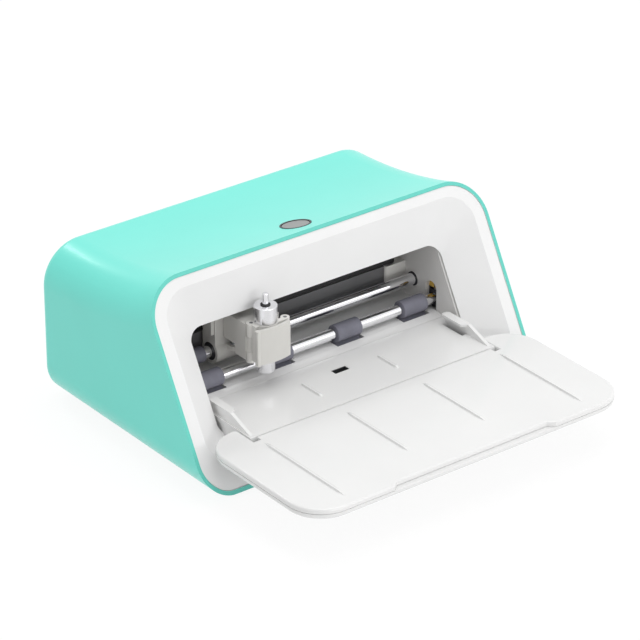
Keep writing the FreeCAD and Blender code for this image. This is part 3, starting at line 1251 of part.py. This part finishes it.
def screw(place, inward):
    """Pan-head screw, its head on the surface at place and its shank going in."""
    top = place - inward * SCREW_HEAD
    head = rod(top, inward, SCREW_HEAD_RADIUS, SCREW_HEAD)
    head = soften(head, SCREW_HEAD / 2, lambda p: near((p - top).dot(inward), 0))
    reach = SCREW_HEAD_RADIUS / 2
    half = CROSS_WIDTH / 2
    for half_x, half_y in ((reach, half), (half, reach)):
        groove = box(-half_x, half_x, -half_y, half_y, 0, SCREW_HEAD / 2)
        groove.Placement = FreeCAD.Placement(top, FreeCAD.Rotation(UP, inward))
        head = head.cut(groove)
    return fuse(head, rod(place, inward, SCREW_RADIUS, SCREW_LENGTH - SCREW_HEAD))


def rear_panel_screws():
    return [screw(place, -BACKWARD) for place in panel_screw_places()]


def control_board():
    plate = box(-BOARD_HALF_WIDTH, BOARD_HALF_WIDTH, BOARD_FRONT_Y, BOARD_BACK_Y, BOARD_Z, BOARD_TOP_Z)
    chips = []
    for x, size in ((-BOARD_HALF_WIDTH / 2, CHIP_SIZE), (0, CHIP_SIZE * 2 / 3)):
        y = BOARD_FRONT_Y + CHIP_SIZE
        chips.append(box(x - size / 2, x + size / 2, y, y + size, BOARD_TOP_Z, BOARD_TOP_Z + BOARD_THICK))
    return fuse(plate, *chips)


def dc_jack():
    body = jack_box(0)
    centre = V(JACK_X, PANEL_BACK_Y, BOARD_TOP_Z + JACK_HEIGHT / 2)
    body = body.cut(rod(centre, -BACKWARD, JACK_BORE, JACK_DEPTH))
    return fuse(body, rod(centre - BACKWARD * JACK_DEPTH, BACKWARD, JACK_PIN, JACK_DEPTH - PIN_SUNK))


def usb_socket():
    front = PANEL_BACK_Y - USB_LENGTH
    shell = usb_box(0, front, PANEL_BACK_Y).cut(usb_box(-USB_WALL, front + PIN_SUNK, PANEL_BACK_Y + FIT))
    half = USB_WIDTH / 3
    middle = BOARD_TOP_Z + USB_HEIGHT / 2
    tongue = box(USB_X - half, USB_X + half, front, PANEL_BACK_Y - PIN_SUNK,
                 middle - USB_WALL, middle + USB_WALL)
    return fuse(shell, tongue)


os.makedirs("parts", exist_ok=True)
SINGLES = (outer_sleeve, front_bezel, tray_panel, tray_cover, front_platform, rear_bed, base_pan, rail_beam,
           idler_block, guide_rod, rod_bumper, pinch_shaft, feed_shaft, feed_gear, feed_pinion, feed_motor,
           drive_belt, motor_bracket, carriage_motor, carriage_base, belt_clip, lift_solenoid,
           solenoid_plunger, tool_block, clamp_pin, clamp_arm, lever_pin, clamp_lever, blade_holder,
           plunger_seal, eject_plunger, blade, button_ring, power_button, button_switch, rear_panel,
           control_board, dc_jack, usb_socket)
GROUPS = (rubber_feet, tray_hinge_pins, rod_collars, pinch_rollers, feed_rollers, pinch_blocks,
          pinch_spring_caps, pinch_springs, feed_bushes, carriage_bushes, lift_guide_pins, lift_springs,
          rear_panel_screws)
for make in SINGLES:
    save(make.__name__, make())
for make in GROUPS:
    save(make.__name__, *make())
for side, word in zip(SIDES, ("left", "right")):
    save("mat_guide_" + word, mat_guide(side))
    save(word + "_wall", side_wall(side))
save("sensor_window", window(-RIDGE_HEIGHT / 2))
save("drive_pulley", pulley(-PULLEY_X, 0, BRACKET_Z + BRACKET_THICK + CARRIAGE_MOTOR_LENGTH / 2))
save("idler_pulley", pulley(PULLEY_X, MOTOR_SHAFT_RADIUS + RUNNING, 0))
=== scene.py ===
import json
import math

import bpy
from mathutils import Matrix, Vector


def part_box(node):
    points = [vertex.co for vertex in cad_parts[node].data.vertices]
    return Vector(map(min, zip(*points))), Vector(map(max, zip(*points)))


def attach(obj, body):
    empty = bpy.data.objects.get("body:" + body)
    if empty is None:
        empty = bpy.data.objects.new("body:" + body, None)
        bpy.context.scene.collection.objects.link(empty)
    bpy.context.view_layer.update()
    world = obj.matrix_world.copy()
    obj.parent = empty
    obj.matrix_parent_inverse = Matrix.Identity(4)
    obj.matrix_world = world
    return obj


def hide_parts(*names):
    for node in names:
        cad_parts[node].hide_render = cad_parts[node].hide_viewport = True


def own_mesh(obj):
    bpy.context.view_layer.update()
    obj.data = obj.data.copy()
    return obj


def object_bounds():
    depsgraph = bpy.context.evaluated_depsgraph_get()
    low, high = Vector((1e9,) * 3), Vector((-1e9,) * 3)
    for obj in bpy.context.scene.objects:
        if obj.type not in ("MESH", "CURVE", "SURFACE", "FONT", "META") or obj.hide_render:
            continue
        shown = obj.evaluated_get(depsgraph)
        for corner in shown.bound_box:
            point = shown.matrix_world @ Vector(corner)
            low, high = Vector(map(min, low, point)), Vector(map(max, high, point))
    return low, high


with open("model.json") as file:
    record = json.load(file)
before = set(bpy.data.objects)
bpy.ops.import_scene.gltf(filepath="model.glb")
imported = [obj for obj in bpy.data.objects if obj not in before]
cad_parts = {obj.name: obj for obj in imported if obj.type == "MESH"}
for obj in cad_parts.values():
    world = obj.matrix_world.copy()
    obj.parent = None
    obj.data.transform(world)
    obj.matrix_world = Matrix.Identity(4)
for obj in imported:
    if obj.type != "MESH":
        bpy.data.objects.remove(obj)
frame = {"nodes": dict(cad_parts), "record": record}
cad_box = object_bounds()
nodes = frame["nodes"]

# Camera solved from the photograph's straight edges, in metres
CAMERA_PLACE = Vector((-1.2198, -1.5599, 1.1095))
CAMERA_VIEW = Vector((0.5414, 0.7005, -0.4648))
CAMERA_LENS = 200.25
SENSOR = 36.0
CLIP_END = 100

# Light levels
SKY_LEVEL = 0.6
FLOOR_SHADE = 0.12
FLOOR_WHITE = 1.04
FLOOR_SIZE = 12.0
FLOOR_DROP = 0.0002     # below the feet, so that no faces coincide
FLOOR_COLOUR = (0.85, 0.85, 0.85, 1)
FLOOR_ROUGHNESS = 0.9
SKY_COLOUR = (1, 1, 1, 1)
LAMP_AIM = Vector((0, 0, 0.05))
LAMPS = {
    "overhead": dict(place=(0.3, -0.1, 2.2), width=1.8, height=1.8, watts=16),
    "front": dict(place=(0.9, -1.8, 1.3), width=1.4, height=1.4, watts=4.5),
    "fill": dict(place=(0.3, -1.7, 0.25), width=1.4, height=0.4, watts=5.5),
    "shoulder": dict(place=(-0.1, 1.6, 1.7), width=0.35, height=1.2, watts=9),
}

# Finishes
NOISE_LOW, NOISE_HIGH = 0.3, 0.7    # where most of a noise texture's values lie
BUMP_DISTANCE = 0.0003
COAT_ROUGHNESS = 0.12
TURNED = (0.02, 0.02, 1)            # grain round an upright axis
DRAWN = (0.02, 1, 1)                # grain along the machine's width

# Springs, in metres
PINCH_WIRE = 0.0009
PINCH_TURNS = 5
LIFT_WIRE = 0.0008
LIFT_TURNS = 3
CLOSED_PITCH = 1.05     # of the end turns, in wire widths
COIL_STEPS = 28
WIRE_SIDES = 10

# Ribs along the mat's way
INNER_RIB_X = 0.0304
OUTER_RIB_X = 0.09375
TRAY_RIB_BACK = -0.0485
INNER_RIB_FRONT = -0.1091
OUTER_RIB_FRONT = -0.1275
PLATFORM_RIB_BACK = -0.0025
PLATFORM_RIB_FRONT = -0.0235
RIB_HALF_WIDTH = 0.0016
RIB_HEIGHT = 0.0014
RIB_FULLNESS = 3.5      # bulge of the sloping side
RIB_STEEP = 0.2         # share of the half width that the steep side takes
RIB_TIP_SHARE = 0.35
RIB_ATTACK = 4.0        # how steeply the ends rise
RIB_STEPS = 60
RIB_SIDES = 10
WINDOW_SINK = 0.0005    # of the sensor window below the mat's surface

# Skirts under the platform's sides
SKIRT_BELOW = 0.0036
SKIRT_INSET = 0.0004
SKIRT_THICK = 0.0015
SKIRT_HEIGHT = 0.008
SKIRT_START = 0.012
SKIRT_ROUNDING = 0.0004

INWARD_SHARE = 0.3      # how far a face of the sleeve has to look inward to belong to its lining
FORWARD_SHARE = 0.6     # and forward to belong to its front rim, which is painted darker as shade
PIN_END_SHARE = 0.9     # how far up a pin's face has to look to belong to its end
SIDES = ((-1, "left"), (1, "right"))


def new_material(name):
    """A material with its node tree and main shader."""
    material = bpy.data.materials.new(name)
    material.use_nodes = True
    tree = material.node_tree
    return material, tree, tree.nodes["Principled BSDF"]


def object_coordinates(tree, stretch=(1, 1, 1)):
    """Row-frame coordinates in metres, stretched to give a direction to the grain."""
    place = tree.nodes.new("ShaderNodeTexCoord")
    mapping = tree.nodes.new("ShaderNodeMapping")
    mapping.inputs["Scale"].default_value = stretch
    tree.links.new(place.outputs["Object"], mapping.inputs["Vector"])
    return mapping.outputs["Vector"]


def noise(tree, coordinates, scale, detail):
    texture = tree.nodes.new("ShaderNodeTexNoise")
    texture.inputs["Scale"].default_value = scale
    texture.inputs["Detail"].default_value = detail
    tree.links.new(coordinates, texture.inputs["Vector"])
    return texture.outputs["Fac"]


def spread(tree, value, low, high):
    """Map a noise value onto a range."""
    node = tree.nodes.new("ShaderNodeMapRange")
    node.inputs["From Min"].default_value = NOISE_LOW
    node.inputs["From Max"].default_value = NOISE_HIGH
    node.inputs["To Min"].default_value = low
    node.inputs["To Max"].default_value = high
    tree.links.new(value, node.inputs["Value"])
    return node.outputs["Result"]


def tint(tree, value, dark, light):
    """Map a noise value onto the tones between two colours."""
    ramp = tree.nodes.new("ShaderNodeValToRGB")
    first, last = ramp.color_ramp.elements
    first.position, last.position = NOISE_LOW, NOISE_HIGH
    first.color, last.color = (*dark, 1), (*light, 1)
    tree.links.new(value, ramp.inputs["Fac"])
    return ramp.outputs["Color"]


def surface(name, colour, roughness, metallic=0.0, vary=0.03, patch=45, grain=1800, depth=0.03,
            rough_vary=0.05, stretch=(1, 1, 1), coat=0.0, specular=0.5, clear=0.0):
    """Moulded, rubber or metal finish: patchy tone, grainy roughness and a fine bump."""
    material, tree, shader = new_material(name)
    broad = noise(tree, object_coordinates(tree), patch, 4)
    fine = noise(tree, object_coordinates(tree, stretch), grain, 2)
    dark = [channel * (1 - vary) for channel in colour]
    light = [min(channel * (1 + vary), 1) for channel in colour]
    tree.links.new(tint(tree, broad, dark, light), shader.inputs["Base Color"])
    gloss = spread(tree, fine, roughness - rough_vary, roughness + rough_vary)
    tree.links.new(gloss, shader.inputs["Roughness"])
    bump = tree.nodes.new("ShaderNodeBump")
    bump.inputs["Strength"].default_value = depth
    bump.inputs["Distance"].default_value = BUMP_DISTANCE
    tree.links.new(fine, bump.inputs["Height"])
    tree.links.new(bump.outputs["Normal"], shader.inputs["Normal"])
    shader.inputs["Metallic"].default_value = metallic
    shader.inputs["Specular IOR Level"].default_value = specular
    shader.inputs["Coat Weight"].default_value = coat
    shader.inputs["Coat Roughness"].default_value = COAT_ROUGHNESS
    shader.inputs["Transmission Weight"].default_value = clear
    return material


FINISHES = {
    "shell_turquoise": dict(colour=(0.168, 0.825, 0.71), roughness=0.33, vary=0.015, patch=18, grain=2600,
                            depth=0.015, rough_vary=0.03, coat=0.15),
    # front rim of the sleeve: the turquoise painted darker as shade where the rounded rim turns into the
    # bezel, and matte without coat
    "shell_edge_painted_shade": dict(colour=(0.138, 0.645, 0.552), roughness=0.5, vary=0.015, patch=18, grain=2600,
                       depth=0.02),
    "white_plastic": dict(colour=(0.85, 0.85, 0.845), roughness=0.14, vary=0.012, patch=25, grain=2200,
                          depth=0.006, rough_vary=0.03),
    "bezel_white": dict(colour=(0.87, 0.87, 0.87), roughness=0.42, vary=0.01, patch=25, grain=3200,
                        depth=0.05),
    "wall_white": dict(colour=(0.78, 0.77, 0.755), roughness=0.45, vary=0.012, patch=25, grain=3000,
                       depth=0.05),
    "grey_plastic": dict(colour=(0.66, 0.65, 0.62), roughness=0.42, grain=2800, depth=0.06),
    "light_grey_plastic": dict(colour=(0.74, 0.73, 0.7), roughness=0.4, grain=2800, depth=0.06),
    "dark_plastic": dict(colour=(0.03, 0.03, 0.034), roughness=0.45, vary=0.1, grain=2600, depth=0.08),
    "slate_rubber": dict(colour=(0.19, 0.19, 0.23), roughness=0.62, vary=0.08, patch=120, grain=3600,
                         depth=0.2, specular=0.35),
    "black_rubber": dict(colour=(0.018, 0.018, 0.019), roughness=0.6, vary=0.15, patch=150, grain=2600,
                         depth=0.15, specular=0.35),
    "bright_steel": dict(colour=(0.82, 0.82, 0.84), roughness=0.05, metallic=1.0, vary=0.02, grain=2400,
                         depth=0.0, rough_vary=0.01, stretch=DRAWN),
    "pin_end": dict(colour=(0.2, 0.2, 0.21), roughness=0.55, metallic=0.3, vary=0.08, patch=600, depth=0.05),
    "spring_steel": dict(colour=(0.5, 0.5, 0.52), roughness=0.28, metallic=1.0, vary=0.06, patch=200),
    "holder_aluminium": dict(colour=(0.8, 0.8, 0.82), roughness=0.22, metallic=1.0, vary=0.02, grain=3000,
                             depth=0.01, rough_vary=0.03, stretch=TURNED),
    "blade_steel": dict(colour=(0.55, 0.55, 0.58), roughness=0.2, metallic=1.0, grain=2600, stretch=TURNED),
    "motor_steel": dict(colour=(0.42, 0.42, 0.44), roughness=0.34, metallic=1.0, vary=0.06, grain=2000,
                        stretch=TURNED),
    "sheet_steel": dict(colour=(0.33, 0.33, 0.34), roughness=0.5, metallic=0.4, vary=0.06, grain=1600,
                        depth=0.05),
    "beam_paint": dict(colour=(0.13, 0.13, 0.135), roughness=0.4, vary=0.1, grain=2600, depth=0.1),
    "brass": dict(colour=(0.72, 0.53, 0.24), roughness=0.3, metallic=1.0, vary=0.06, grain=2400,
                  stretch=TURNED),
    "yellow_plastic": dict(colour=(0.72, 0.46, 0.08), roughness=0.45, vary=0.06, depth=0.05),
    "board_green": dict(colour=(0.015, 0.13, 0.04), roughness=0.4, vary=0.2, patch=300, depth=0.05),
    "window_glass": dict(colour=(0.012, 0.012, 0.016), roughness=0.12, vary=0.1, patch=300, clear=0.6),
    "button_grey": dict(colour=(0.26, 0.265, 0.265), roughness=0.36, vary=0.03, grain=3200, depth=0.05),
    "gear_white": dict(colour=(0.7, 0.69, 0.65), roughness=0.42, vary=0.04, depth=0.05),
}
MATERIALS = {name: surface(name, **finish) for name, finish in FINISHES.items()}


def dress_nodes():
    """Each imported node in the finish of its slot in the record."""
    for part in frame["record"]["subparts"]:
        piece = nodes[part["node"]]
        piece.data.materials.clear()
        piece.data.materials.append(MATERIALS[part["material_slot"]])


def finish_sleeve():
    """Plain inner skin, so that the bay is lit in a neutral tone, and a matte front rim painted darker as
    shade where it rounds into the bezel.
    """
    sleeve = nodes["outer_sleeve"]
    low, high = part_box("outer_sleeve")
    middle = (low + high) / 2
    lining, shaded_edge = 1, 2
    for extra in ("wall_white", "shell_edge_painted_shade"):
        sleeve.data.materials.append(MATERIALS[extra])
    for face in sleeve.data.polygons:
        inward = middle - face.center
        inward.y = 0
        # faces that look forward form the rim with painted shade
        if face.normal.y < -FORWARD_SHARE:
            face.material_index = shaded_edge
        elif face.normal.dot(inward.normalized()) > INWARD_SHARE:
            face.material_index = lining


def dull_pin_ends():
    """Cut ends of the two clamp pins, duller than their ground sides."""
    end = 1
    for name in ("clamp_pin", "lever_pin"):
        pin = nodes[name]
        pin.data.materials.append(MATERIALS["pin_end"])
        for face in pin.data.polygons:
            if face.normal.z > PIN_END_SHARE:
                face.material_index = end


def add_piece(name, corners, faces, body, slot, smooth=False):
    """A mesh that rides on a body in the finish of one of the record's slots."""
    mesh = bpy.data.meshes.new(name)
    mesh.from_pydata(corners, [], faces)
    mesh.materials.append(MATERIALS[slot])
    mesh.polygons.foreach_set("use_smooth", [smooth] * len(mesh.polygons))
    mesh.update()
    piece = bpy.data.objects.new(name, mesh)
    bpy.context.collection.objects.link(piece)
    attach(piece, body)
    return piece


def coil_line(centre, low, high, radius, wire, turns):
    """Points along a compression spring's wire: one closed turn at each end and open turns between."""
    closed = wire * CLOSED_PITCH
    start, end = low + wire / 2, high - wire / 2
    points = []
    for step in range(turns * COIL_STEPS + 1):
        turn = step / COIL_STEPS
        open_share = min(max((turn - 1) / (turns - 2), 0), 1)
        height = start + closed * min(turn, 1) + closed * max(turn - turns + 1, 0)
        height += open_share * (end - start - 2 * closed)
        angle = 2 * math.pi * turn
        x, y = radius * math.cos(angle), radius * math.sin(angle)
        points.append(Vector((centre.x + x, centre.y + y, height)))
    return points


def wire_mesh(lines, wire):
    """Round wire swept along each line, with flat ends."""
    corners, faces = [], []
    for line in lines:
        first = len(corners)
        for i, point in enumerate(line):
            along = (line[min(i + 1, len(line) - 1)] - line[max(i - 1, 0)]).normalized()
            side = along.cross(Vector((0, 0, 1))).normalized()
            over = side.cross(along)
            for k in range(WIRE_SIDES):
                angle = 2 * math.pi * k / WIRE_SIDES
                corners.append(point + (side * math.cos(angle) + over * math.sin(angle)) * wire / 2)
        for i in range(len(line) - 1):
            here, there = first + i * WIRE_SIDES, first + (i + 1) * WIRE_SIDES
            for k in range(WIRE_SIDES):
                following = (k + 1) % WIRE_SIDES
                faces.append((here + k, here + following, there + following, there + k))
        last = first + (len(line) - 1) * WIRE_SIDES
        faces.append(tuple(range(first + WIRE_SIDES - 1, first - 1, -1)))
        faces.append(tuple(range(last, last + WIRE_SIDES)))
    return corners, faces


def wind_springs(name, node, body, wire, turns):
    """A pair of wound springs in the place of a node's two solids, over the height of its box."""
    low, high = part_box(node)
    radius = (high.y - low.y - wire) / 2
    reach = (high.y - low.y) / 2
    lines = []
    for x in (low.x + reach, high.x - reach):
        centre = Vector((x, (low.y + high.y) / 2, 0))
        lines.append(coil_line(centre, low.z, high.z, radius, wire, turns))
    springs = add_piece(name, *wire_mesh(lines, wire), body, "spring_steel", smooth=True)
    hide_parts(node)
    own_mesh(springs)


def crest(x, front, back, foot):
    """Corners and faces of one rib that runs out to nothing at both ends, steep on its left side."""
    corners, faces = [], []
    for i in range(RIB_STEPS + 1):
        share = i / RIB_STEPS
        rise = min(1, RIB_ATTACK * math.sin(math.pi * share))
        y = front + (back - front) * share
        for k in range(RIB_SIDES + 1):
            across = 2 * k / RIB_SIDES - 1
            steep = min(1, (across + 1) / RIB_STEEP)
            slope = max(0, (across + 1 - RIB_STEEP) / (2 - RIB_STEEP)) ** RIB_FULLNESS
            width = RIB_HALF_WIDTH * (RIB_TIP_SHARE + (1 - RIB_TIP_SHARE) * rise)
            corners.append((x + across * width, y, foot + RIB_HEIGHT * rise * (steep - slope)))
    row = RIB_SIDES + 1
    for i in range(RIB_STEPS):
        for k in range(RIB_SIDES):
            here = i * row + k
            faces.append((here, here + 1, here + row + 1, here + row))
    return corners, faces


def add_ribs():
    """A soft crest over each ridge that is moulded along the mat's way."""
    surface_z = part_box("sensor_window")[1].z + WINDOW_SINK
    runs = [("tray_rib_inner", "tray", INNER_RIB_X, TRAY_RIB_BACK, INNER_RIB_FRONT),
            ("tray_rib_outer", "tray", OUTER_RIB_X, TRAY_RIB_BACK, OUTER_RIB_FRONT),
            ("platform_rib", "chassis", INNER_RIB_X, PLATFORM_RIB_BACK, PLATFORM_RIB_FRONT)]
    for name, body, x, back, front in runs:
        for side, label in SIDES:
            corners, faces = crest(side * x, front, back, surface_z)
            add_piece(f"{name}_{label}", corners, faces, body, "white_plastic")


def box_mesh(low, high):
    """Corners and faces of an upright box between two corners."""
    corners = [(x, y, z) for x in (low[0], high[0]) for y in (low[1], high[1]) for z in (low[2], high[2])]
    faces = [(0, 1, 3, 2), (4, 6, 7, 5), (0, 4, 5, 1), (2, 3, 7, 6), (0, 2, 6, 4), (1, 5, 7, 3)]
    return corners, faces


def add_skirts():
    """Side skirts that close the platform's underside towards the bezel's funnel."""
    low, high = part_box("front_platform")
    top = high.z - SKIRT_BELOW
    for side, label in SIDES:
        outer = side * (high.x - SKIRT_INSET)
        inner = side * (high.x - SKIRT_INSET - SKIRT_THICK)
        first = (min(outer, inner), low.y + SKIRT_START, top - SKIRT_HEIGHT)
        last = (max(outer, inner), high.y, top)
        skirt = add_piece(f"platform_skirt_{label}", *box_mesh(first, last), "chassis", "white_plastic")
        rounding = skirt.modifiers.new("rounding", "BEVEL")
        rounding.width = SKIRT_ROUNDING
        rounding.segments = 2


def white_to_camera(tree):
    """1 for what the camera sees, directly or through gloss and glass, and 0 for other light."""
    path = tree.nodes.new("ShaderNodeLightPath")
    seen = path.outputs["Is Camera Ray"]
    for kind in ("Is Glossy Ray", "Is Transmission Ray"):
        either = tree.nodes.new("ShaderNodeMath")
        either.operation = "MAXIMUM"
        tree.links.new(seen, either.inputs[0])
        tree.links.new(path.outputs[kind], either.inputs[1])
        seen = either.outputs["Value"]
    return seen


def make_floor():
    """Pale floor that shows white and keeps a part of the shadow."""
    bpy.ops.mesh.primitive_plane_add(size=FLOOR_SIZE, location=(0, 0, cad_box[0][2] - FLOOR_DROP))
    floor = bpy.context.object
    floor.name = "floor"
    material, tree, shader = new_material("floor_white")
    shader.inputs["Base Color"].default_value = FLOOR_COLOUR
    shader.inputs["Roughness"].default_value = FLOOR_ROUGHNESS
    shader.inputs["Specular IOR Level"].default_value = 0.0
    white = tree.nodes.new("ShaderNodeEmission")
    white.inputs["Strength"].default_value = FLOOR_WHITE
    share = tree.nodes.new("ShaderNodeMath")
    share.operation = "MULTIPLY"
    share.inputs[1].default_value = 1 - FLOOR_SHADE
    mix = tree.nodes.new("ShaderNodeMixShader")
    tree.links.new(white_to_camera(tree), share.inputs[0])
    tree.links.new(share.outputs["Value"], mix.inputs["Fac"])
    tree.links.new(shader.outputs["BSDF"], mix.inputs[1])
    tree.links.new(white.outputs["Emission"], mix.inputs[2])
    tree.links.new(mix.outputs["Shader"], tree.nodes["Material Output"].inputs["Surface"])
    floor.data.materials.append(material)


def make_sky():
    """Plain soft light from all round, seen as white."""
    world = bpy.data.worlds.new("studio")
    world.use_nodes = True
    tree = world.node_tree
    level = tree.nodes.new("ShaderNodeMapRange")
    level.inputs["To Min"].default_value = SKY_LEVEL
    level.inputs["To Max"].default_value = 1.0
    tree.links.new(white_to_camera(tree), level.inputs["Value"])
    tree.links.new(level.outputs["Result"], tree.nodes["Background"].inputs["Strength"])
    tree.nodes["Background"].inputs["Color"].default_value = SKY_COLOUR
    bpy.context.scene.world = world


def area_light(name, place, width, height, watts):
    light = bpy.data.lights.new(name, "AREA")
    light.shape = "ELLIPSE"
    light.size = width
    light.size_y = height
    light.energy = watts
    lamp = bpy.data.objects.new(name, light)
    lamp.location = place
    lamp.rotation_euler = (LAMP_AIM - lamp.location).to_track_quat("-Z", "Y").to_euler()
    bpy.context.collection.objects.link(lamp)


def make_camera():
    data = bpy.data.cameras.new("camera")
    data.lens = CAMERA_LENS
    data.sensor_width = SENSOR
    data.sensor_fit = "HORIZONTAL"
    data.clip_end = CLIP_END
    camera = bpy.data.objects.new("camera", data)
    camera.location = CAMERA_PLACE
    camera.rotation_euler = CAMERA_VIEW.to_track_quat("-Z", "Y").to_euler()
    bpy.context.collection.objects.link(camera)
    bpy.context.scene.camera = camera


dress_nodes()
finish_sleeve()
dull_pin_ends()
wind_springs("wound_pinch_springs", "pinch_springs", "chassis",
             PINCH_WIRE, PINCH_TURNS)
wind_springs("wound_lift_springs", "lift_springs", "carriage",
             LIFT_WIRE, LIFT_TURNS)
add_ribs()
add_skirts()
make_floor()
make_sky()
for lamp_name, lamp_values in LAMPS.items():
    area_light(lamp_name, **lamp_values)
make_camera()
bpy.context.scene.view_settings.view_transform = "Standard"
